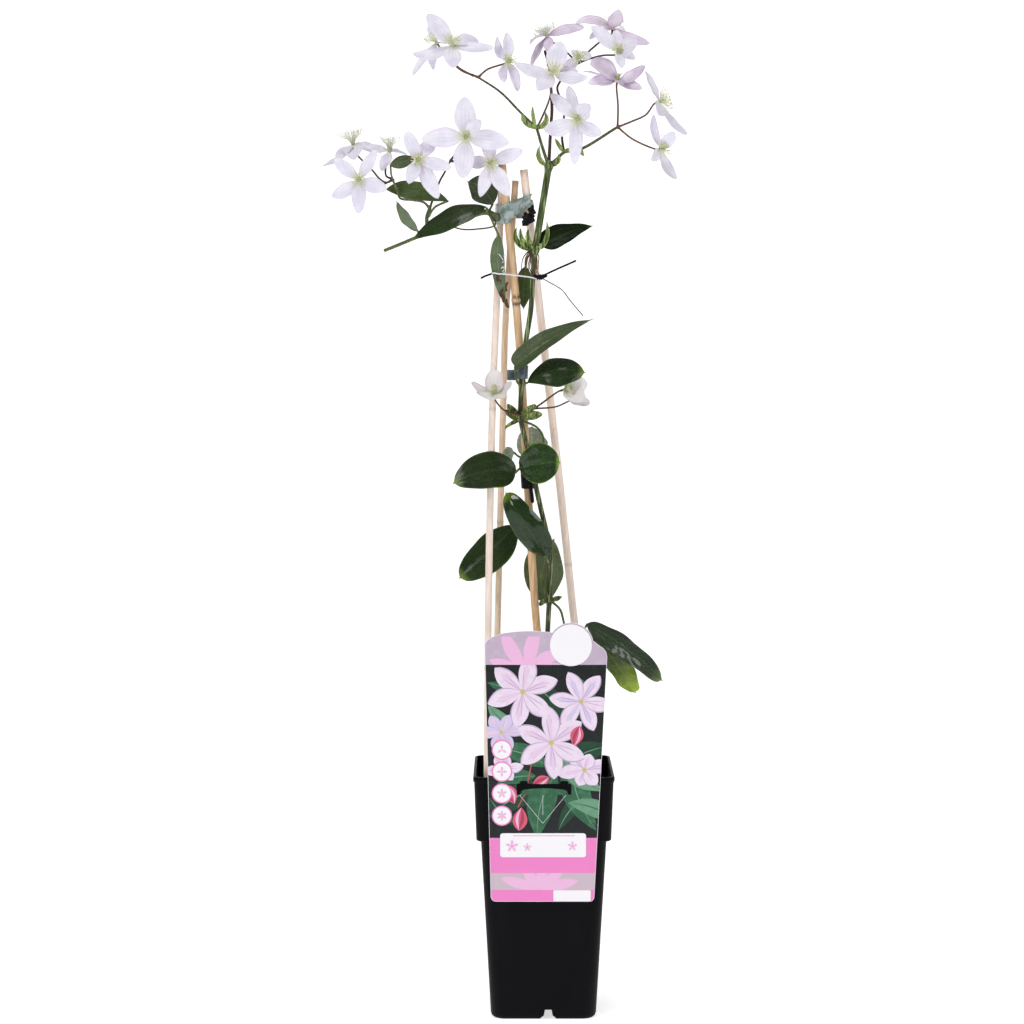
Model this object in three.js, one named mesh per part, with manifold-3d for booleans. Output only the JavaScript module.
// A young evergreen clematis in flower, tied to a teepee of four bamboo canes in its square climber pot.
// Millimetres, +Z up, the pot's front towards -Y. The origin is under the middle of the pot, on the ground.
import * as THREE from 'three';
import { mergeVertices } from 'three/addons/utils/BufferGeometryUtils.js';
import Module from 'manifold-3d';

const wasm = await Module();
wasm.setup();

// ---- driving dimensions ----
const SEAT = 0.3; // clearance where one piece sits on or in another
const BAND_EASE = 0.6; // clearance inside the clips and the tie

const POT_WIDTH = 120; // across the rim
const POT_HEIGHT = 211;
const POT_WALL = 1.6;
const COLLAR_BOTTOM = 155.5;
const COLLAR_BOTTOM_WIDTH = 114.6;
const BODY_TOP_WIDTH = 107;
const BASE_WIDTH = 90;
const BASE_CORNER = 12; // plan radius of the base's corners
const RIM_CORNER = 8;
const LIP_HEIGHT = 5; // the thicker bead along the top of the collar
const LIP_PROUD = 0.7;
const FLOOR_UNDERSIDE = 10; // the raised floor inside the skirt
const FLOOR_THICKNESS = 2;
const NOTCH_HEIGHT = 8.5; // drainage cut in each side of the skirt
const NOTCH_WIDTH = 6;
const NOTCH_FOOT_WIDTH = 14.5;
const NOTCH_OFFSET = 4;
const DRAIN_RADIUS = 4;
const GATE_RADIUS = 4; // the moulding boss under the middle of the floor
const LUG_WIDTH = 46; // the bar on the collar that carries the label
const LUG_BOTTOM = 197;
const LUG_HEIGHT = 9;
const LUG_PROUD = 3.2;
const LUG_LIP = { width: 7, depth: 0.9, height: 2.6, offset: 17 }; // two lips keep the label on the lug

const SOIL_TOP = 187;
const SOIL_BUMP = 1.6;

const CANE_LENGTH = 600;
const CANE_FACETS = 8;
const CANE_NODE = { at: [-24.6, -8, 612], radius: 4.1 }; // the ring on the middle cane

const STEM_RADIUS = 2.2; // the wiry lower stem
const TOP_STEM_RADIUS = 2.9; // this year's thick shoot above the top node

const LEAF_THICKNESS = 0.8;
const SEPAL_FORM = { thickness: 0.7, skew: 1.12, fullness: 0.62 };
const BRACT_THICKNESS = 1.2;
const PETIOLE_RADIUS = 1.1;
const STALK_RADIUS = 0.9; // flower stalks
const STALK_NECK = 7; // the last of each flower stalk, straight behind its bloom
const RECEPTACLE_RADIUS = 1.9;
const STAMEN_LENGTH = 10;
const STAMEN_WIDTH = 1.5;

const COLOURS = {
  pot: 0x17171a,
  soil: 0x3a2a1e,
  label: 0xd98fc0,
  paleCane: 0xe8cdb9,
  brownCane: 0xcfae8c,
  tanCane: 0xc79a6b,
  clip: 0x7f9a9b,
  black: 0x1b1a1d,
  tie: 0xe6e3ea,
  stem: 0x3f6a2e,
  darkStalk: 0x3a2226,
  brownStalk: 0x6b5040,
  leaf: 0x1f3f1d,
  paleLeaf: 0x6d8676,
  sepal: 0xede9f6,
};

// ---- shape helpers ----
const vec = (point) => new THREE.Vector3(...point);
const range = (count) => Array.from({ length: count }, (_, i) => i);

function solid(geometry) {
  const bare = geometry.clone();
  bare.deleteAttribute('normal');
  bare.deleteAttribute('uv');
  const merged = mergeVertices(bare, 1e-3);
  return new wasm.Manifold(
    new wasm.Mesh({
      numProp: 3,
      vertProperties: Float32Array.from(merged.attributes.position.array),
      triVerts: Uint32Array.from(merged.index.array),
    }),
  );
}

function geometryOf(shape) {
  const mesh = shape.getMesh();
  const geometry = new THREE.BufferGeometry();
  geometry.setAttribute('position', new THREE.BufferAttribute(mesh.vertProperties, mesh.numProp));
  geometry.setIndex(new THREE.BufferAttribute(mesh.triVerts, 1));
  geometry.computeVertexNormals();
  return geometry;
}

const union = (shapes) => shapes.reduce((whole, shape) => whole.add(shape));

// A closed body from rings of points, each ring joined to the next and the ends closed by fans.
function loft(rings) {
  const count = rings[0].length;
  const positions = rings.flat().flat();
  const triangles = [];
  range(rings.length - 1).forEach((level) => {
    range(count).forEach((i) => {
      const j = (i + 1) % count;
      const [a, b] = [level * count + i, level * count + j];
      triangles.push(a, b, b + count, a, b + count, a + count);
    });
  });
  const last = (rings.length - 1) * count;
  range(count - 2).forEach((i) => {
    triangles.push(0, i + 2, i + 1, last, last + i + 1, last + i + 2);
  });
  const geometry = new THREE.BufferGeometry();
  geometry.setAttribute('position', new THREE.Float32BufferAttribute(positions, 3));
  geometry.setIndex(triangles);
  return solid(geometry);
}

// A square ring with rounded corners, centred on the Z axis.
function squareRing(width, corner, z, steps = 3) {
  const inset = width / 2 - corner;
  return range(4).flatMap((quarter) =>
    range(steps + 1).map((i) => {
      const angle = (quarter + i / steps) * (Math.PI / 2);
      const [cx, cy] = [
        [inset, inset], [-inset, inset],
        [-inset, -inset], [inset, -inset],
      ][quarter];
      return [cx + corner * Math.cos(angle), cy + corner * Math.sin(angle), z];
    }),
  );
}

// A round rod along a smooth path through the points.
function tube(points, radius, sides = 6, stepLength = 7) {
  const path = new THREE.CatmullRomCurve3(points.map(vec), false, 'centripetal');
  const section = new THREE.Shape(
    range(sides).map((i) => {
      const angle = (i / sides) * 2 * Math.PI;
      return new THREE.Vector2(radius * Math.cos(angle), radius * Math.sin(angle));
    }),
  );
  const steps = Math.max(1, Math.round(path.getLength() / stepLength));
  return solid(new THREE.ExtrudeGeometry(section, { steps, extrudePath: path, bevelEnabled: false }));
}

const ball = (centre, radius, sides = 6, rings = 4) =>
  solid(new THREE.SphereGeometry(radius, sides, rings).translate(...centre));

function block(size, centre) {
  return solid(new THREE.BoxGeometry(...size).translate(...centre));
}

// The width of a leaf or sepal along its length: 0 at the ends, 1 at its widest.
const outline = (t, skew, fullness) => Math.max(0.1, Math.sin(Math.PI * t ** skew) ** fullness);

// A thin closed blade along a midrib that passes through base, mid and tip. The blade faces `facing`;
// fold lifts its edges, and wave ripples them. Both faces are split into triangles alike.
function blade({
  base, mid, tip, facing, width, thickness,
  skew = 0.9, fullness = 0.75, fold = 0.15, wave = 0, rows = 7, columns = 2,
}) {
  const [start, through, end] = [vec(base), vec(mid), vec(tip)];
  const control = through.clone().multiplyScalar(2).addScaledVector(start, -0.5).addScaledVector(end, -0.5);
  const midrib = new THREE.QuadraticBezierCurve3(start, control, end);
  const front = vec(facing).normalize();
  const positions = [];
  range(rows + 1).forEach((i) => {
    const t = (1 - Math.cos((Math.PI * i) / rows)) / 2; // closer together at the ends
    const point = midrib.getPoint(t);
    const along = midrib.getTangent(t);
    const side = new THREE.Vector3().crossVectors(along, front).normalize();
    const up = new THREE.Vector3().crossVectors(side, along).normalize();
    const half = (width / 2) * outline(t, skew, fullness);
    range(columns + 1).forEach((j) => {
      const across = (2 * j) / columns - 1;
      const ripple = wave * across * across * Math.sin(5.5 * Math.PI * t + (across > 0 ? 1.4 : 0));
      const lift = fold * half * Math.abs(across) ** 1.3 + ripple;
      const middle = point.clone().addScaledVector(side, across * half).addScaledVector(up, lift);
      [0.5, -0.5].forEach((face) => {
        positions.push(...middle.clone().addScaledVector(up, face * thickness).toArray());
      });
    });
  });
  const index = (i, j, face) => 2 * (i * (columns + 1) + j) + face;
  const triangles = [];
  const quad = (a, b, c, d) => triangles.push(a, b, c, a, c, d);
  range(rows).forEach((i) => {
    range(columns).forEach((j) => {
      quad(index(i, j, 0), index(i, j + 1, 0), index(i + 1, j + 1, 0), index(i + 1, j, 0));
      triangles.push(index(i, j, 1), index(i + 1, j + 1, 1), index(i, j + 1, 1));
      triangles.push(index(i, j, 1), index(i + 1, j, 1), index(i + 1, j + 1, 1));
    });
    quad(index(i, 0, 1), index(i, 0, 0), index(i + 1, 0, 0), index(i + 1, 0, 1));
    quad(index(i, columns, 0), index(i, columns, 1), index(i + 1, columns, 1), index(i + 1, columns, 0));
  });
  range(columns).forEach((j) => {
    quad(index(0, j, 1), index(0, j + 1, 1), index(0, j + 1, 0), index(0, j, 0));
    quad(index(rows, j, 0), index(rows, j + 1, 0), index(rows, j + 1, 1), index(rows, j, 1));
  });
  const geometry = new THREE.BufferGeometry();
  geometry.setAttribute('position', new THREE.Float32BufferAttribute(positions, 3));
  geometry.setIndex(triangles);
  return solid(geometry);
}

// Where a rod along the points crosses a height, as [x, y, radius].
function crossing({ points, radius }, z) {
  const curve = new THREE.CatmullRomCurve3(points.map(vec), false, 'centripetal');
  const off = (point) => Math.abs(point.z - z);
  const nearest = curve.getPoints(400).reduce((best, point) => (off(point) < off(best) ? point : best));
  return [nearest.x, nearest.y, radius];
}

// The outline drawn tight round a bundle of rods, each [x, y, radius], at a distance from them.
function wrap(bundle, distance, count = 18) {
  return range(count).map((i) => {
    const angle = (i / count) * 2 * Math.PI;
    const [ux, uy] = [Math.cos(angle), Math.sin(angle)];
    const reach = ([x, y, radius]) => x * ux + y * uy + radius;
    const [x, y, radius] = bundle.reduce((best, rod) => (reach(rod) > reach(best) ? rod : best));
    return new THREE.Vector2(x + (radius + distance) * ux, y + (radius + distance) * uy);
  });
}

// A flat band round a bundle of rods, centred on the height z and climbing by `slope` per mm of X.
function band(bundle, { thickness, height, z, slope = 0 }) {
  const shape = new THREE.Shape(wrap(bundle, BAND_EASE + thickness));
  const inner = wrap(bundle, BAND_EASE);
  shape.holes.push(new THREE.Path(inner));
  const geometry = new THREE.ExtrudeGeometry(shape, { depth: height, bevelEnabled: false });
  const middle = inner.reduce((sum, point) => sum + point.x, 0) / inner.length;
  const position = geometry.attributes.position;
  range(position.count).forEach((i) => {
    const climb = slope * (position.getX(i) - middle);
    position.setZ(i, position.getZ(i) - height / 2 + z + climb);
  });
  return solid(geometry);
}

const plant = new THREE.Group();

function add(name, shape, color, roughness = 0.6) {
  const material = new THREE.MeshStandardMaterial({ color, roughness, metalness: 0 });
  const mesh = new THREE.Mesh(geometryOf(shape), material);
  mesh.name = name;
  plant.add(mesh);
}

// ---- canes: each runs from its top down to the pot's rim, then on into the soil to its full length ----
const CANES = {
  cane_front_left: { points: [[-35.5, 4, 719], [-40, -6, 613], [-43.5, -16, 528], [-47, -32, 358],
      [-48, -43, 207]],
    heading: [0.02, 0.01, -1], radius: 3, color: COLOURS.paleCane },
  cane_back_left: { points: [[-24, -1, 715], [-32.5, 8, 596], [-34.5, 14, 527], [-40, 34, 317],
      [-43, 42, 213]],
    heading: [0.02, 0, -1], radius: 2.8, color: COLOURS.brownCane },
  cane_middle: { points: [[-35.5, -11, 729], [-28.5, -9, 664], [-21, -7, 580], [-9.5, -3, 386],
      [-5.5, -1, 330], [0, 4, 275], [7, 8, 215]],
    heading: [0.08, 0.04, -1], radius: 3.4, color: COLOURS.tanCane },
  cane_back_right: { points: [[-17, -6, 724], [-2, 6, 596], [15, 21, 450], [27.5, 32, 334], [42, 42, 213]],
    heading: [0, 0.01, -1], radius: 3.4, color: COLOURS.paleCane },
};

Object.values(CANES).forEach((cane) => {
  const above = cane.points.map(vec);
  const length = above.slice(1).reduce((sum, point, i) => sum + point.distanceTo(above[i]), 0);
  const end = above.at(-1).clone().addScaledVector(vec(cane.heading).normalize(), CANE_LENGTH - length);
  cane.points.push(end.toArray());
});

const caneRod = ({ points, radius }, extra = 0) => tube(points, radius + extra, CANE_FACETS, 75);

// ---- main stem ----
const LOWER_STEM = { radius: STEM_RADIUS, points: [
  [0, -3, 160], [1, -4, 250], [3.7, -5, 328], [5, -6, 357], [5.5, -7.5, 390], [3, -9, 412], [-2, -11.5, 434],
  [-6.5, -13.5, 454], [-13.5, -15, 486], [-19.5, -15.5, 513], [-18.5, -15.5, 543], [-15.5, -15.5, 576],
  [-11, -15.5, 605], [-9.5, -15, 630], [-7.5, -14, 657]] };
const TOP_STEM = { radius: TOP_STEM_RADIUS, points: [[-7.7, -14, 654], [-2, -12.2, 688], [4.5, -10, 728]] };

// The nodes are the swollen joints where leaves and shoots leave the stem.
const STEM_NODES = [
  [[5, -6, 357], 3.4], [[5.3, -7.5, 392], 2.9], [[-18.8, -15.5, 543], 3.1], [[-19.5, -15.5, 513], 3.1],
  [[-7.6, -14, 656], 4.2], [[4.3, -10, 727], 4.2],
];

// Bud scales, bracts and young shoots: each from base through mid to tip, with its width.
const STEM_BRACTS = [
  { base: [-9, -14, 655], mid: [-22.5, -18, 662], tip: [-23, -16, 675], width: 5 },
  { base: [-9.5, -15, 656], mid: [-18.5, -21.5, 664], tip: [-19.5, -21.5, 674], width: 4.5 },
  { base: [-8.5, -16, 656], mid: [-13.5, -22.5, 664], tip: [-13, -22, 673], width: 4.5 },
  { base: [-6, -15, 656], mid: [2, -18, 664], tip: [2.5, -16, 680], width: 4.5 },
  { base: [-20, -17, 512], mid: [-28, -20.5, 516], tip: [-32, -19, 520.5], width: 7 },
  { base: [-20, -16, 514], mid: [-27, -16, 519], tip: [-30.5, -14, 525.5], width: 7 },
  { base: [-19, -17, 514], mid: [-8.5, -20, 515], tip: [-1, -19, 516.5], width: 8 },
  { base: [-19, -16, 515], mid: [-11, -20, 521], tip: [-6, -18, 523.5], width: 6 },
  { base: [-20, -17, 511], mid: [-28, -19, 508], tip: [-33, -19, 503.5], width: 3.5 },
  { base: [4, -6, 356], mid: [-1, -8, 354], tip: [-3, -8, 351], width: 4.5 },
  { base: [6, -6, 356], mid: [11.5, -9, 357.5], tip: [16, -9, 359.5], width: 4.5 },
  { base: [4, -8, 358], mid: [0.5, -9.5, 367], tip: [-3, -9.5, 382], width: 3 },
  { base: [3, -10, 727], mid: [-4, -12, 733], tip: [-3.5, -11, 744], width: 4.5 },
  { base: [6, -10, 727], mid: [12, -12.5, 730.5], tip: [12, -12.5, 737], width: 4.5 },
];
const DRY_SHOOT = { radius: 1.1, points: [[-11, -14, 604], [-14.5, -12.5, 590], [-17, -13.5, 573]] };

function bract({ base, mid, tip, width }, extra = 0) {
  const size = { width: width + 2 * extra, thickness: BRACT_THICKNESS + 2 * extra };
  return blade({ base, mid, tip, ...size, facing: [0, -1, 0.25], rows: 3, columns: 1 });
}

// `extra` grows a stem all over, to cut the seats of what stands on it.
const mainStem = (extra = 0) =>
  union([
    tube(LOWER_STEM.points, LOWER_STEM.radius + extra, 6, 20),
    tube(TOP_STEM.points, TOP_STEM.radius + extra, 8, 18),
    tube(DRY_SHOOT.points, DRY_SHOOT.radius + extra, 5, 16),
    ...STEM_NODES.map(([centre, radius]) => ball(centre, radius + extra, 6, 3)),
    ...STEM_BRACTS.map((spec) => bract(spec, extra)),
  ]);

// ---- blooms: centre, the way the bloom faces, and its sepals as [x, y, z, width, bow, sag, turn]: the tip
// from the centre, the width, how far the middle stands out towards the face, how far it hangs down, and
// how far the sepal's own face is turned to the front. The last ones are left out where they are 0. ----
const BLOOMS = {
  bloom_1: { at: [-78, -12, 828], facing: [0.1, -0.75, 0.65],
    sepals: [[-20.5, 6, 27.5, 17], [-33.5, 0, -6.5, 14, -1, 4], [1.5, -20, -21, 15, 1],
      [36, -4, -2.5, 13, 0, 1.5], [24, 16, 3, 12, 6, 0, 0.5]] },
  bloom_2: { at: [-91.5, 14, 833.5], facing: [-0.5, -0.4, 0.75],
    sepals: [[-20.5, -7, -29, 8, 1, 0, 0.8], [-3, 6, -23, 10, 3, 0, 0.8], [-3, 16, 22, 12, 2],
      [26, 14, -5, 11, 2]] },
  bloom_3: { at: [-31, -14, 814], facing: [0.45, -0.85, 0.2],
    sepals: [[0, 8, 26, 10.5, 1], [-8.5, -6, 21, 9, -7], [-3, -10, -18, 9, -6], [9, 2, -25, 10, 3]] },
  bloom_4: { at: [3, 2, 837.5], facing: [-0.35, 0.25, 0.9],
    sepals: [[32, 4, 8, 12, 1, 0, 1.5], [-14.5, -16, -8.5, 8, 3, 0, 0.4], [-14, -8, -27, 9, 1, 0, 0.8],
      [2.5, -16, -16, 9, 1, 0, 0.4], [-6, 27, 8, 10, 3]] },
  bloom_5: { at: [7.5, -26, 803], facing: [0.05, -0.85, 0.5],
    sepals: [[6.5, 8, 28, 17], [-32.5, 0, 9, 13, -2, 2], [-13, -16, -16, 15, 1], [29.5, -6, -3.5, 13, -2, 2],
      [21.5, 14, 4, 11, 1]] },
  bloom_6: { at: [29.5, -6, 817.5], facing: [0.1, -0.9, 0.4],
    sepals: [[-13, 2, -11, 10, 1], [-6, 2, 8, 6, 1], [11, 6, 4, 9, 1]] },
  bloom_7: { at: [58.5, 6, 844], facing: [0.1, 0.35, 0.93],
    sepals: [[-31, 0, 5, 9.5, 6, 0, 0.4], [32.5, -2, -12.5, 13, -1, 2, 1.4], [5, -18, 14.5, 12, -2],
      [-19, 18, -7, 9, 3], [10, 27, -3, 11, 3]] },
  bloom_8: { at: [62.5, -16, 822], facing: [0.15, -0.9, 0.35],
    sepals: [[-22.5, 6, 22.5, 13, 1], [16, -18, 6, 20, -2], [-1, 8, 20, 9, 1], [15.5, 12, -4, 9, 1],
      [2, -22, -16, 9, 2]] },
  bloom_9: { at: [62.5, 0, 799.5], facing: [0.1, -0.15, 0.98],
    sepals: [[-23.5, -8, 13, 19, 4, 0, 1.2], [-25, -8, -3, 12, 1, 0, 1.3], [-31, 4, 9, 8, 1],
      [23.5, -4, 13, 12, -4, 0, 1.1], [21, -10, -8, 11, 0, 0, 1.1], [3, -24, -7, 8, 2]] },
  bloom_10: { at: [27.5, -26, 764.5], facing: [0.05, -0.97, 0.2],
    sepals: [[-22, 2, 22, 12, 1], [-7, 5, 29, 10, 1], [11, -14, 11.5, 14, 1], [-28, -4, -8, 15, 0, 3],
      [-2, -2, -38, 12, 1], [21, -8, -12, 12, 0, 2.5]] },
  bloom_11: { at: [98, -8, 781], facing: [0.88, -0.3, 0.3],
    sepals: [[-11.5, 6, 27, 9, 0, 0, 0.6], [24.5, 2, -27, 10, 0, 4.5, 0.5], [-2, -22, -13, 14, 1, 0, 1],
      [2, 24, 8, 11, 3]] },
  bloom_12: { at: [99, -10, 741.5], facing: [0.55, -0.8, 0.1],
    sepals: [[-5.5, 4, 29.5, 9, -4], [10.5, -12, 13.5, 12, 1, 0, 0.5], [14.5, 4, -25.5, 11, -3, 2],
      [-8.5, -16, -11.5, 9, 1]] },
  bloom_13: { at: [-66, -26, 750], facing: [0, -1, 0.1],
    sepals: [[-1, 2, 34, 18, 1], [-37.5, 2, -1.5, 17, 1], [37, 0, -5, 17, 1], [-2.5, -4, -35, 17, 1],
      [13, -14, 13, 12, 1]] },
  bloom_14: { at: [-106, -26, 730], facing: [0, -0.95, 0.3],
    sepals: [[-10, 4, 25, 12, 1], [14, 12, 21, 12, 1], [28, -2, -6, 12, 1], [-8, -12, -20, 12, 1],
      [17, -4, -32, 13, 1]] },
  bloom_15: { at: [-45.5, -20, 728.5], facing: [0.05, -1, 0.1],
    sepals: [[28, 0, 11, 12, 1], [-20, 10, 2, 11, 1], [-8.5, -4, -29, 11, 1], [16, -4, -28, 14, 1],
      [-2, 12, 24, 12, 1]] },
  bloom_16: { at: [-156, -28, 714], facing: [0, -1, 0.1],
    sepals: [[-21, 0, 17.5, 11, 1], [14.5, 2, 25.5, 10], [-23.5, 0, -13.5, 12, 1, 2.5],
      [0, -3, -28.5, 12.5, 1], [24, -6, -8, 13, 1, 1]] },
  bloom_17: { at: [-162.5, 2, 745], facing: [-0.15, -0.2, 0.97],
    sepals: [[-27, 4, -17, 9, -2, 1, 0.5], [25, 7, -5, 11, 1, 0, 0.8], [2, -23, -14, 17, 3],
      [-12, -20, -15, 14, 3], [9, 24, 4, 10, 1]] },
  bloom_18: { at: [-131.5, 2, 740], facing: [0, -0.2, 0.98],
    sepals: [[-22, -4, 3, 9, 0, -1, 0.8], [-5.5, -18, -18, 10, 1], [16, 14, -4, 9, 2, 0, 0.5],
      [-6, 24, 2, 10, 2]] },
  bloom_half_open: { at: [-42, -29, 534], facing: [0, -0.5, 0.87],
    sepals: [[0, 8, 20.5, 13, -2], [-19.5, -4, 9.5, 13, -5], [15, -2, 10, 11, -4], [-4, -14, -5, 22, -1]] },
  bloom_cup: { at: [17.5, -22, 537], facing: [0.9, -0.35, 0.2],
    sepals: [[21, -2, 9, 17, -3], [17, -12, -5, 15, -3], [19, 8, 2, 14, -3], [22, -6, -10, 12, -4]] },
};

// Stamens stand on the receptacle in an inner and an outer ring, leaning out from the way the bloom faces.
const STAMEN_RINGS = [
  { count: 1, lean: 0.2, turn: 0 },
  { count: 5, lean: 0.75, turn: 0.5 },
];

function stamens(centre, front) {
  const across = new THREE.Vector3(0.4, 0.3, 1).cross(front).normalize();
  return STAMEN_RINGS.flatMap(({ count, lean, turn }) =>
    range(count).map((i) => {
      const sideways = across.clone().applyAxisAngle(front, ((i + turn) / count) * 2 * Math.PI);
      const along = front.clone().multiplyScalar(Math.cos(lean)).addScaledVector(sideways, Math.sin(lean));
      const inward = new THREE.Quaternion().setFromUnitVectors(new THREE.Vector3(0, -1, 0), along);
      const middle = centre.clone().addScaledVector(along, STAMEN_LENGTH / 2);
      const spike = new THREE.ConeGeometry(STAMEN_WIDTH / 2, STAMEN_LENGTH, 3);
      return solid(spike.applyQuaternion(inward).translate(...middle));
    }),
  );
}

function bloom({ at, facing: ahead, sepals }) {
  const centre = vec(at);
  const front = vec(ahead).normalize();
  const blades = sepals.map(([x, y, z, width, bow = 0, sag = 0, turn = 0]) => {
    const reach = new THREE.Vector3(x, y, z);
    const base = centre.clone().addScaledVector(reach, 0.5 / reach.length());
    const mid = centre.clone().addScaledVector(reach, 0.5).addScaledVector(front, bow);
    mid.z -= sag;
    const tip = centre.clone().add(reach);
    const spine = { base: base.toArray(), mid: mid.toArray(), tip: tip.toArray() };
    const facing = [front.x, front.y - turn, front.z];
    return blade({ ...spine, facing, width, ...SEPAL_FORM, rows: width > 13 ? 5 : 4, columns: 1 });
  });
  return union([ball(at, RECEPTACLE_RADIUS, 5, 3), ...blades, ...stamens(centre, front)]);
}

// ---- side stems and flower stalks: rods along points. A rod with a `bloom` ends behind that bloom ----
const BRANCHES = {
  side_stem: { color: COLOURS.stem, on: ['clip_top'],
    rods: [
      { radius: 3.5, points: [[-39.7, -9.2, 683], [-45.5, -9.5, 687], [-51, -9, 688]] },
      { radius: 1.7, points: [[-49, -9, 688], [-82, -6, 678], [-114.5, -8, 664], [-135, -11, 655.5]] },
      { radius: 1.8, points: [[-98.5, -7, 671], [-99.5, -9, 683], [-97, -11, 691]] },
      { radius: 1.1, points: [[-97, -11, 691], [-102, -12.5, 696], [-112, -13, 698], [-122, -13, 699.5],
        [-124.5, -13, 706.5], [-129, -11, 716.5]] },
      { radius: 0.9, points: [[-125, -13, 708], [-129, -17, 718], [-130, -15, 727]] },
      { radius: 0.7, points: [[-42, -10, 683], [-41.5, -14.5, 676.5], [-58.5, -17.5, 673], [-69.5, -18, 673],
        [-79.5, -16, 676]] },
    ],
    bracts: [{ base: [-130.5, -15, 727], mid: [-119.5, -13, 730], tip: [-108.5, -11, 734.5], width: 11 }] },
  left_flower_stalks: { color: COLOURS.darkStalk, on: ['side_stem'],
    rods: [
      { radius: 1, points: [[-97, -11, 691], [-88.5, 0, 715], [-84, 0, 723], [-79.5, -4, 731.5]] },
      { bloom: 'bloom_13', points: [[-79.5, -4, 731.5], [-73, -11, 740]] },
      { bloom: 'bloom_15', points: [[-79.5, -4, 731.5], [-62.5, -3, 729.5]] },
      { bloom: 'bloom_14', points: [[-93, -5.5, 702], [-103, 0, 712]] },
    ] },
  far_flower_stalks: { color: COLOURS.darkStalk, on: ['side_stem'],
    rods: [
      { bloom: 'bloom_17', points: [[-128, -11.5, 715], [-134, -8.5, 713], [-140, -6, 716.5],
        [-145, -4, 722.5]] },
      { bloom: 'bloom_18', points: [[-129, -11, 716], [-134, -7, 718.5], [-134.5, -2.5, 727]] },
      { bloom: 'bloom_16', points: [[-128.5, -11.5, 715], [-138, -11, 711], [-149, -15, 712.5]] },
    ] },
  left_branch: { color: COLOURS.stem, on: ['main_stem'],
    rods: [
      { radius: 1.5, points: [[4, -10, 727], [-2, -11, 745], [-6, -12, 758.5]] },
      { radius: 1.1, points: [[-6, -12, 758.5], [-20, -12, 772], [-37, -12, 789], [-56, -12, 801.5]] },
      { bloom: 'bloom_1', points: [[-56, -12, 801.5], [-64, -9, 805], [-74, -6, 812]] },
      { bloom: 'bloom_2', points: [[-60, -11, 803], [-70, -2, 808], [-80, 10, 818]] },
      { bloom: 'bloom_3', points: [[-55.5, -12, 801.3], [-48, -10, 808]] },
      { bloom: 'bloom_5', points: [[-6, -12, 758.5], [0, -13, 771], [5, -14, 784]] },
    ],
    bracts: [
      { base: [-6.5, -13, 758], mid: [-16, -14.5, 763.5], tip: [-17.5, -13, 771], width: 5 },
      { base: [-6.5, -13, 758], mid: [-9, -15, 767], tip: [-9.5, -15, 777], width: 3.5 },
      { base: [-5.5, -13, 758], mid: [1.5, -14.5, 763], tip: [1, -15.5, 772], width: 5 },
    ] },
  middle_branch: { color: COLOURS.darkStalk, on: ['main_stem', 'left_branch'],
    rods: [
      { radius: 1.5, points: [[4.3, -9.5, 727], [5.5, -5, 751.5], [6.5, -3, 766], [7, -3, 777], [4, -3, 813],
        [1, -3, 824]] },
    ] },
  right_branch: { color: COLOURS.stem, on: ['main_stem'],
    rods: [
      { radius: 1.4, points: [[4.3, -10, 727], [12, -11, 733.5], [17, -12.5, 738], [31.5, -12, 741],
        [62.5, -12, 759.5]] },
      { bloom: 'bloom_9', points: [[62.5, -12, 759], [63, -7, 778]] },
      { bloom: 'bloom_11', points: [[62.5, -12, 759.5], [76, -9, 765], [87, -6.5, 770.5]] },
      { bloom: 'bloom_12', points: [[62.5, -12, 759.5], [75.5, -9, 749.5]] },
    ],
    bracts: [
      { base: [17, -13, 738], mid: [12.5, -15, 744], tip: [9.5, -14.5, 750], width: 3.5 },
      { base: [17, -13, 738], mid: [21, -14.5, 739.5], tip: [24, -14, 738.5], width: 4 },
      { base: [31, -13, 741], mid: [32, -14.5, 737.5], tip: [34, -14, 735], width: 3.5 },
    ] },
  upper_branch: { color: COLOURS.darkStalk, on: ['right_branch'],
    rods: [
      { radius: 1.1, points: [[17, -12, 738.5], [15.5, -5, 753], [17, -3, 767], [18, -2, 779.5],
        [14, -1, 785.5], [11.5, 0, 793.5], [14, 0, 799], [20.5, 3, 808], [29, 7, 815]] },
      { bloom: 'bloom_10', points: [[16.5, -3.5, 763], [21, -10, 764]] },
      { bloom: 'bloom_4', points: [[29, 7, 815], [20, 6, 824], [11, 4, 831]] },
      { bloom: 'bloom_7', points: [[29, 7, 815], [38, 7, 824.5], [48, 6, 833]] },
      { bloom: 'bloom_8', points: [[29, 7, 815], [40, 6, 819], [50, 1, 821]] },
      { bloom: 'bloom_6', points: [[29, 7, 815]] },
    ] },
  middle_stalk_left: { color: COLOURS.brownStalk, on: ['main_stem'],
    rods: [
      { bloom: 'bloom_half_open', points: [[-19.5, -16, 514], [-20.5, -21, 515.5], [-26, -23.5, 517],
        [-34, -24, 520]] },
    ] },
  middle_stalk_right: { color: COLOURS.brownStalk, on: ['main_stem'],
    rods: [
      { bloom: 'bloom_cup', points: [[-18, -14.5, 514], [-11, -14, 519], [-3, -15.5, 524.5]] },
      { radius: 0.8, points: [[-8, -14.3, 521.2], [0, -19, 521.5], [11, -24, 523], [21, -27, 527.5]] },
    ] },
};

function rodPoints({ bloom: name, points }) {
  if (!name) return points;
  const { at, facing } = BLOOMS[name];
  const behind = vec(at).addScaledVector(vec(facing).normalize(), -STALK_NECK);
  return [...points, behind.toArray(), at];
}

const branch = ({ rods, bracts = [] }, extra = 0) =>
  union([
    ...rods.map((rod) => tube(rodPoints(rod), (rod.radius ?? STALK_RADIUS) + extra, 4, 14)),
    ...bracts.map((spec) => bract(spec, extra)),
  ]);

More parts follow.
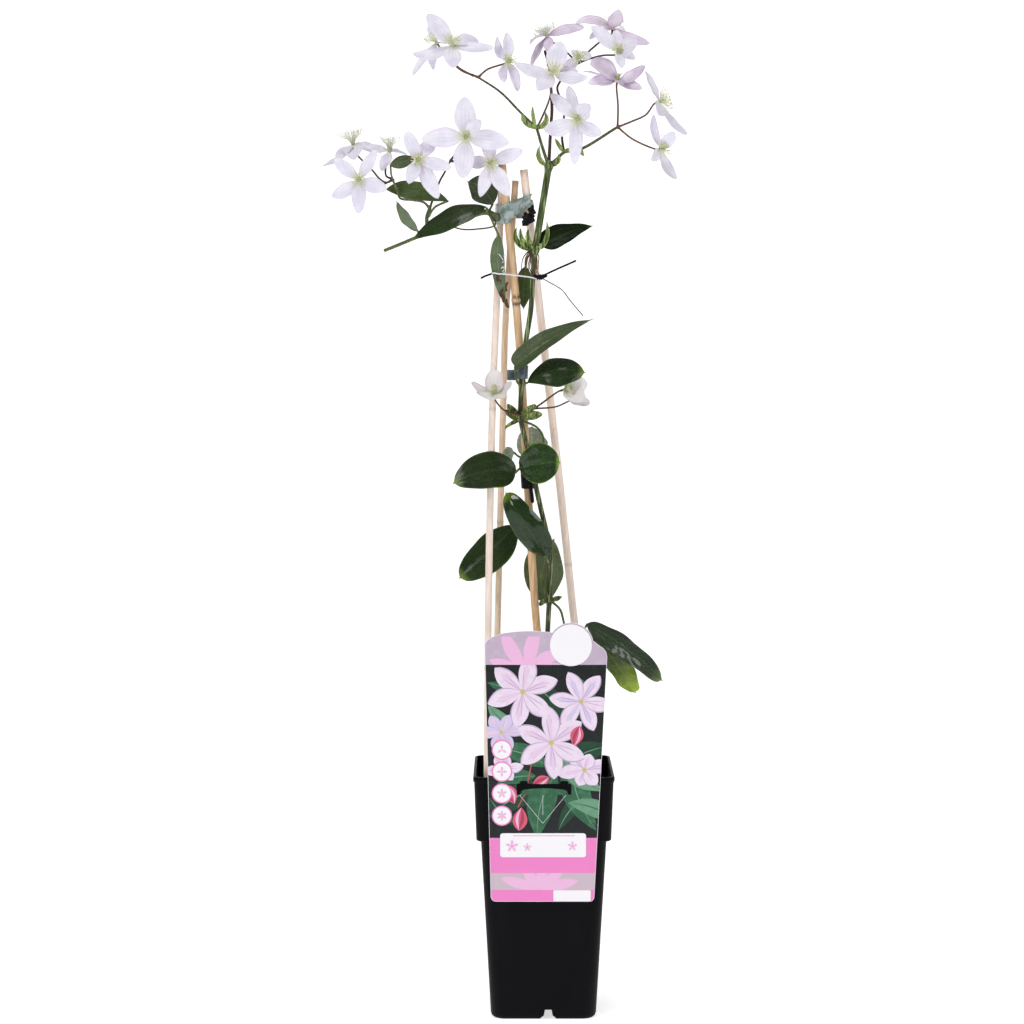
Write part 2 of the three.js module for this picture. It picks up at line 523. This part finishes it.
// ---- leaves: a petiole of points, then one or more blades, each from a base through mid to tip ----
const LEAVES = {
  leaf_low_right: { on: 'main_stem', petiole: [[7, -6.5, 355], [14, -14, 349], [17.5, -30, 338],
    [21, -44, 328], [30, -50, 330], [36.5, -49, 340]],
    mid: [66, -48, 321.5], tip: [103, -40, 291], facing: [0.25, -0.8, 0.55],
    width: 19, skew: 1, fullness: 0.5, wave: 0.5,
    second: { petiole: [[28, -49, 329], [35, -42, 331], [41, -40, 328]],
      mid: [64.5, -37, 301.5], tip: [76.5, -37, 279], facing: [-0.5, -0.8, 0.3], width: 18, skew: 1.3,
      fullness: 0.55, wave: 0.4 } },
  leaf_middle_left: { on: 'main_stem', petiole: [[-10.5, -14, 472], [-16, -16.5, 472], [-21, -18.5, 469.5],
    [-24, -21, 466.5]],
    mid: [-48, -31, 468.5], tip: [-77.5, -33, 458.5], facing: [-0.2, -0.9, 0.35], width: 34, fullness: 0.5 },
  leaf_middle_right: { on: 'main_stem', petiole: [[-9.5, -15, 468], [-14, -21, 471.5], [-20.5, -23, 470.5]],
    mid: [-3.5, -35, 475], tip: [13.5, -40, 476], facing: [0, -1, 0.1], width: 35, skew: 1, fullness: 0.5 },
  leaf_arching: { on: 'main_stem', petiole: [[4.5, -8.5, 392], [1.5, -13.5, 394.5]],
    mid: [-13.5, -30, 420], tip: [-34, -27, 451.5], facing: [-0.3, -0.85, 0.35], width: 26, skew: 0.78,
    fullness: 0.6, wave: 0.5 },
  leaf_behind_cane: { on: 'main_stem', petiole: [[4.5, -6.5, 392], [-1.5, 4, 400], [-14, 6, 415],
    [-24.5, 1, 413.5]],
    mid: [-47.5, -5, 394], tip: [-73, -8, 375.5], facing: [-0.25, -0.9, 0.3], width: 29, skew: 1,
    fullness: 0.5 },
  leaf_behind_stem: { on: 'main_stem', petiole: [[5, -5, 357], [5, 2, 357], [3, 5, 354]],
    mid: [0, 10, 381.5], tip: [9.5, 9, 407.5], facing: [0.1, -0.95, 0.2], width: 35, skew: 1, fullness: 0.5 },
  leaf_upper_right: { on: 'main_stem', petiole: [[-18, -16, 541.5], [-14, -18.5, 543]],
    mid: [8, -26, 553.5], tip: [36, -24, 552.5], facing: [0.1, -0.85, 0.5], width: 28, skew: 1.35,
    fullness: 0.62 },
  leaf_folded: { on: 'main_stem', petiole: [[-19.5, -16, 541], [-22.5, -21, 543.5], [-24, -23.5, 550],
    [-24.5, -22, 557]],
    mid: [6, -29, 580], tip: [42.5, -23, 597.5], facing: [0.2, -0.75, 0.6], width: 19, skew: 0.52, fold: 0.5,
    fullness: 0.5 },
  leaf_top_right: { on: 'main_stem', petiole: [[-7, -13, 656.5], [-2.5, -8.5, 660]],
    mid: [18, -3, 670], tip: [43, 2, 677.5], facing: [0.2, -0.85, 0.5], width: 21, skew: 0.6 },
  leaf_hanging: { on: 'side_stem', petiole: [[-45.5, -11, 685], [-42, -14.5, 676], [-38, -14, 667.5]],
    mid: [-38.5, -19.5, 640.5], tip: [-32.5, -17, 608], facing: [-0.3, -0.95, 0], width: 13, skew: 0.75,
    fold: 0.25, color: COLOURS.paleLeaf },
  leaf_long_left: { on: 'side_stem', petiole: [[-49, -10, 688], [-48, -15.5, 690.5], [-50.5, -17, 692]],
    mid: [-81, -27, 681.5], tip: [-115, -22, 662.5], facing: [-0.1, -0.75, 0.65], width: 24, fullness: 0.65 },
  leaf_left_back: { on: 'side_stem', petiole: [[-98, -10.6, 684.5], [-92, -16, 692], [-81.5, -12, 697]],
    mid: [-109, -7, 705.5], tip: [-135.5, -7.5, 707.5], facing: [0, -0.85, 0.5], width: 19, skew: 1.2,
    fullness: 0.6, wave: 0.4 },
  leaf_left_hanging: { on: 'side_stem', petiole: [[-104, -7.8, 667.5], [-107, -14, 671.5]],
    mid: [-117.5, -17, 683.5], tip: [-125.5, -16, 697.5], facing: [-0.6, -0.75, 0.2], width: 10,
    color: COLOURS.paleLeaf },
  leaf_clip_left: { on: 'side_stem', petiole: [[-47, -8.5, 688], [-45, -4, 692], [-43.5, -1, 695]],
    mid: [-52.5, 9, 709], tip: [-66, 18, 715.5], facing: [-0.45, -0.8, 0.4], width: 24, fullness: 0.6 },
  leaf_behind_tie: { on: 'main_stem', petiole: [[-8, -13, 655], [-13.5, -5.5, 650], [-15.5, -1.5, 642]],
    mid: [-17, 0, 624], tip: [-17, -1, 605], facing: [0.1, -0.97, 0], width: 15 },
  leaf_pale_round: { on: 'main_stem', petiole: [[-18.5, -15, 511], [-6, -10, 505], [-0.5, -4, 497],
    [-1, 4, 486], [-7, 7.5, 479.5]],
    mid: [-10, 10, 491], tip: [-9.5, 9, 505], facing: [0, -0.95, 0.2], width: 27, fullness: 0.5,
    color: COLOURS.paleLeaf },
  leaf_pale_small: { on: 'main_stem', petiole: [[-11, -14, 473], [-14, -10.5, 477.5], [-21.5, -10, 480],
    [-25, -8, 483]],
    mid: [-30, -3, 481], tip: [-35.5, 1, 477.5], facing: [-0.2, -0.95, 0.2], width: 13,
    color: COLOURS.paleLeaf },
};

function leaf({ petiole, second, skew = 0.88, fullness = 0.72, fold = 0.14, wave = 0, ...spec }) {
  const form = { thickness: LEAF_THICKNESS, skew, fullness, fold, wave, rows: 5 };
  const face = blade({ ...spec, ...form, base: petiole.at(-1) });
  const whole = tube(petiole, PETIOLE_RADIUS, 4, 10).add(face);
  return second ? whole.add(leaf(second)) : whole;
}

// ---- pot ----
const innerWidth = (outer) => outer - 2 * POT_WALL;
const bodyWidth = (z) => BASE_WIDTH + ((BODY_TOP_WIDTH - BASE_WIDTH) * z) / COLLAR_BOTTOM;
const LEDGE = COLLAR_BOTTOM + POT_WALL; // the step inside, where the collar widens
const FLOOR_TOP = FLOOR_UNDERSIDE + FLOOR_THICKNESS;
const COLLAR_TOP_WIDTH = POT_WIDTH - 2 * LIP_PROUD;

function potWalls() {
  return loft([
    squareRing(BASE_WIDTH - 5, BASE_CORNER - 2, 0),
    squareRing(bodyWidth(1) - 2, BASE_CORNER - 1, 1.2),
    squareRing(bodyWidth(4), BASE_CORNER, 4),
    squareRing(BODY_TOP_WIDTH, BASE_CORNER - 2, COLLAR_BOTTOM),
    squareRing(COLLAR_BOTTOM_WIDTH, RIM_CORNER + 1, COLLAR_BOTTOM + 0.8),
    squareRing(COLLAR_TOP_WIDTH, RIM_CORNER, POT_HEIGHT - LIP_HEIGHT),
    squareRing(POT_WIDTH, RIM_CORNER, POT_HEIGHT - LIP_HEIGHT + 0.8),
    squareRing(POT_WIDTH, RIM_CORNER, POT_HEIGHT - 0.8),
    squareRing(POT_WIDTH - 1, RIM_CORNER, POT_HEIGHT),
    squareRing(innerWidth(COLLAR_TOP_WIDTH), RIM_CORNER - 1.5, POT_HEIGHT),
    squareRing(innerWidth(COLLAR_BOTTOM_WIDTH), RIM_CORNER - 1, LEDGE + 0.4),
    squareRing(innerWidth(BODY_TOP_WIDTH), BASE_CORNER - 3, LEDGE),
    squareRing(innerWidth(bodyWidth(FLOOR_TOP)), BASE_CORNER - 2, FLOOR_TOP),
  ]);
}

function pot() {
  const skirtHollow = loft([
    squareRing(innerWidth(BASE_WIDTH - 5), BASE_CORNER - 4, -1),
    squareRing(innerWidth(BASE_WIDTH - 3), BASE_CORNER - 3, FLOOR_UNDERSIDE),
  ]);
  const post = (radius, bottom, height, [x, y], sides) =>
    solid(
      new THREE.CylinderGeometry(radius, radius, height, sides)
        .rotateX(Math.PI / 2)
        .translate(x, y, bottom + height / 2),
    );
  const gate = post(GATE_RADIUS, 0, FLOOR_UNDERSIDE + 1, [0, 0], 12);
  const drains = [[22, 22], [-22, 22], [-22, -22], [22, -22]].map((place) =>
    post(DRAIN_RADIUS, FLOOR_UNDERSIDE - 2, FLOOR_THICKNESS + 4, place, 8),
  );
  const profile = [[NOTCH_FOOT_WIDTH / 2, -1], [NOTCH_FOOT_WIDTH / 2 - 2, 2],
    [NOTCH_WIDTH / 2 + 0.5, NOTCH_HEIGHT / 2], [NOTCH_WIDTH / 2, NOTCH_HEIGHT]];
  const mirrored = profile.map(([x, z]) => [-x, z]).reverse();
  const notch = new THREE.Shape([...profile, ...mirrored].map((corner) => new THREE.Vector2(...corner)));
  const notches = range(4).map((side) =>
    solid(
      new THREE.ExtrudeGeometry(notch, { depth: 12, bevelEnabled: false })
        .rotateX(Math.PI / 2)
        .translate(NOTCH_OFFSET, -BASE_WIDTH / 2 + 8, 0)
        .rotateZ((side * Math.PI) / 2),
    ),
  );
  const root = -COLLAR_TOP_WIDTH / 2 + 1.2;
  const front = -COLLAR_TOP_WIDTH / 2 - LUG_PROUD;
  const lugCentre = [0, (root + front) / 2, LUG_BOTTOM + LUG_HEIGHT / 2];
  const lug = block([LUG_WIDTH, root - front, LUG_HEIGHT], lugCentre);
  const lipSize = [LUG_LIP.width, LUG_LIP.depth, LUG_LIP.height + 1]; // 1 mm of it sunk in the lug
  const lipCentre = [front + LUG_LIP.depth / 2, LUG_BOTTOM + LUG_HEIGHT + LUG_LIP.height / 2 - 0.5];
  const lips = [-1, 1].map((side) => block(lipSize, [side * LUG_LIP.offset, ...lipCentre]));
  return union([potWalls().subtract(union([skirtHollow, ...notches, ...drains])), gate, lug, ...lips]);
}

// ---- soil: fills the pot, with an uneven top and plain holes for the stem and the canes ----
const swell = (x, y) => Math.sin(0.09 * x + 1) * Math.cos(0.11 * y) + 0.5 * Math.sin(0.2 * y - 0.13 * x);

function soil() {
  const fit = (outer) => innerWidth(outer) - 2 * SEAT;
  const filling = loft([
    squareRing(fit(bodyWidth(FLOOR_TOP)), BASE_CORNER - 2, FLOOR_TOP + SEAT),
    squareRing(fit(BODY_TOP_WIDTH) - 0.3, BASE_CORNER - 3, LEDGE + SEAT),
    squareRing(fit(COLLAR_BOTTOM_WIDTH), RIM_CORNER - 1, LEDGE + 0.4 + SEAT),
    squareRing(fit(COLLAR_BOTTOM_WIDTH) + 2.6, RIM_CORNER - 1, SOIL_TOP + 4),
  ]);
  const above = new THREE.BoxGeometry(POT_WIDTH + 8, POT_WIDTH + 8, 40, 5, 5, 1);
  above.translate(0, 0, 20);
  const position = above.attributes.position;
  range(position.count).forEach((i) => {
    const lift = position.getZ(i) < 1 ? SOIL_BUMP * swell(position.getX(i), position.getY(i)) : 0;
    position.setZ(i, position.getZ(i) + SOIL_TOP + lift);
  });
  const stemHole = tube(LOWER_STEM.points, LOWER_STEM.radius + SEAT, 6, 16);
  const caneHoles = Object.values(CANES).map((cane) => caneRod(cane, SEAT));
  return filling.subtract(union([solid(above), stemHole, ...caneHoles]));
}

// ---- label: a card hung on the collar's lug through its slot ----
const LABEL_BACK = -POT_WIDTH / 2 - 0.4;
const LABEL_THICKNESS = 0.9;
const LABEL_TAB = { x: 22.5, z: 323.5, radius: 19, from: 0.2, to: 2.54 };

function label() {
  const card = new THREE.Shape();
  card.moveTo(-40, 105.5);
  card.lineTo(38, 105.5);
  card.quadraticCurveTo(42.5, 105.5, 42.6, 110);
  card.lineTo(53, 313);
  card.quadraticCurveTo(53, 319, 48, 322);
  card.absarc(LABEL_TAB.x, LABEL_TAB.z, LABEL_TAB.radius, LABEL_TAB.from, LABEL_TAB.to, false);
  card.quadraticCurveTo(-12, 337, -33, 334);
  card.quadraticCurveTo(-50, 330, -50, 323);
  card.lineTo(-45, 110);
  card.quadraticCurveTo(-44.5, 105.5, -40, 105.5);
  const slot = new THREE.Path();
  const [side, low, high] = [LUG_WIDTH / 2 + SEAT, LUG_BOTTOM - SEAT, LUG_BOTTOM + LUG_HEIGHT + SEAT];
  slot.moveTo(-side, low);
  slot.lineTo(-side, high);
  slot.lineTo(side, high);
  slot.lineTo(side, low);
  slot.closePath();
  card.holes.push(slot);
  const sheet = { depth: LABEL_THICKNESS, bevelEnabled: false, curveSegments: 7 };
  const flat = new THREE.ExtrudeGeometry(card, sheet);
  return solid(flat.rotateX(Math.PI / 2).translate(0, LABEL_BACK, 0));
}

// ---- clips and tie: bands round the canes and the stem ----
function bundle(rods, heights) {
  return rods.flatMap((rod) => heights.map((z) => crossing(rod, z)));
}

const CLIP_TOP = { thickness: 1.1, height: 17, z: 689.5, slope: 0.4 };
const CLIP_MIDDLE = { thickness: 1.5, height: 12, z: 552 };
const CLIP_TAB = { size: [7.5, 1.8, 9], centre: [-27.5, -9, 549.5] }; // the grip of the middle clip
const CLIP_LOW = { thickness: 1.6, height: 15, z: 459.5 };
const CLIP_TAIL = { radius: 1.8, points: [[-11.5, -9.5, 456], [-10.5, -10.5, 450], [-9.5, -10.5, 441]] };
const CATCH_BLOCKS = [ // the body, the lever and the foot of the top clip's catch
  { size: [9, 6.5, 12], centre: [-13, -13.8, 684] },
  { size: [5, 5, 6], centre: [-10.5, -16.5, 689.5] },
  { size: [6, 4.5, 5], centre: [-15.5, -15.5, 678] },
];
const TIE = { thickness: 1.6, height: 1.6, z: 633.5, slope: -0.12 };
const TIE_TWIST = [-42, -12.5, 1]; // the loop reaches out to its twisted end here
const TIE_END = { radius: 0.9, points: [[-43, -14.5, 636.3], [-50, -14.5, 633.5], [-53, -14, 632]] };
const KNOT = { centre: [-3.3, -19.6, 632.5], radius: 2.6 };
const WIRE_ENDS = [ // the short twisted end and the long thin tail
  { radius: 1, points: [KNOT.centre, [6, -20, 637], [27, -13, 646.5]] },
  { radius: 0.6, points: [KNOT.centre, [4, -21, 628.5], [15.5, -22.5, 621.5], [22, -24, 613],
    [33, -26, 600]] },
];

const clipTop = (extra = 0) =>
  band(bundle(Object.values(CANES), [677, 688, 700]), {
    ...CLIP_TOP, thickness: CLIP_TOP.thickness + extra, height: CLIP_TOP.height + 2 * extra });

const clipMiddle = () =>
  band(bundle([CANES.cane_middle, LOWER_STEM], [546, 558]), CLIP_MIDDLE).add(
    block(CLIP_TAB.size, CLIP_TAB.centre),
  );

const clipLow = () =>
  band(bundle([CANES.cane_middle], [452, 467]), CLIP_LOW).add(
    tube(CLIP_TAIL.points, CLIP_TAIL.radius, 5, 8),
  );

const clipCatch = () => union(CATCH_BLOCKS.map(({ size, centre }) => block(size, centre)));

const tieLoop = () =>
  union([
    band([...bundle([...Object.values(CANES), LOWER_STEM], [633]), TIE_TWIST], TIE),
    tube(TIE_END.points, TIE_END.radius, 5, 8),
  ]);

const tieWire = () =>
  union([
    ball(KNOT.centre, KNOT.radius),
    ...WIRE_ENDS.map(({ points, radius }) => tube(points, radius, 4, 12)),
  ]);

// ---- the whole plant ----
add('pot', pot(), COLOURS.pot, 0.45);
add('soil', soil(), COLOURS.soil, 0.95);
add('label', label(), COLOURS.label, 0.35);
const caneRing = solid(
  new THREE.SphereGeometry(CANE_NODE.radius, 8, 4).scale(1, 1, 0.5).translate(...CANE_NODE.at),
);
Object.entries(CANES).forEach(([name, cane]) => {
  const rod = caneRod(cane);
  add(name, name === 'cane_middle' ? rod.add(caneRing) : rod, cane.color, 0.7);
});
add('clip_top', clipTop(), COLOURS.clip, 0.4);
add('clip_catch', clipCatch(), COLOURS.black, 0.4);
add('clip_middle', clipMiddle(), COLOURS.clip, 0.4);
add('clip_low', clipLow(), COLOURS.black, 0.4);
add('tie_loop', tieLoop(), COLOURS.tie);
add('tie_wire', tieWire(), COLOURS.black);
add('main_stem', mainStem(), COLOURS.stem, 0.5);

// What stands on a stem is cut back to a seat round it, and a stalk is cut back from its bloom's receptacle.
const seats = { main_stem: mainStem(SEAT), clip_top: clipTop(SEAT) };
Object.entries(BRANCHES).forEach(([name, spec]) => {
  seats[name] = branch(spec, SEAT);
});
Object.entries(BRANCHES).forEach(([name, spec]) => {
  const blooms = spec.rods.filter((rod) => rod.bloom).map((rod) => BLOOMS[rod.bloom]);
  const cuts = blooms.map(({ at }) => ball(at, RECEPTACLE_RADIUS + SEAT, 5, 3));
  const shape = [...spec.on.map((parent) => seats[parent]), ...cuts].reduce(
    (rest, cut) => rest.subtract(cut),
    branch(spec),
  );
  add(name, shape, spec.color, 0.5);
});
Object.entries(LEAVES).forEach(([name, spec]) => {
  add(name, leaf(spec).subtract(seats[spec.on]), spec.color ?? COLOURS.leaf, 0.35);
});
Object.entries(BLOOMS).forEach(([name, spec]) => add(name, bloom(spec), COLOURS.sepal));

export default plant;
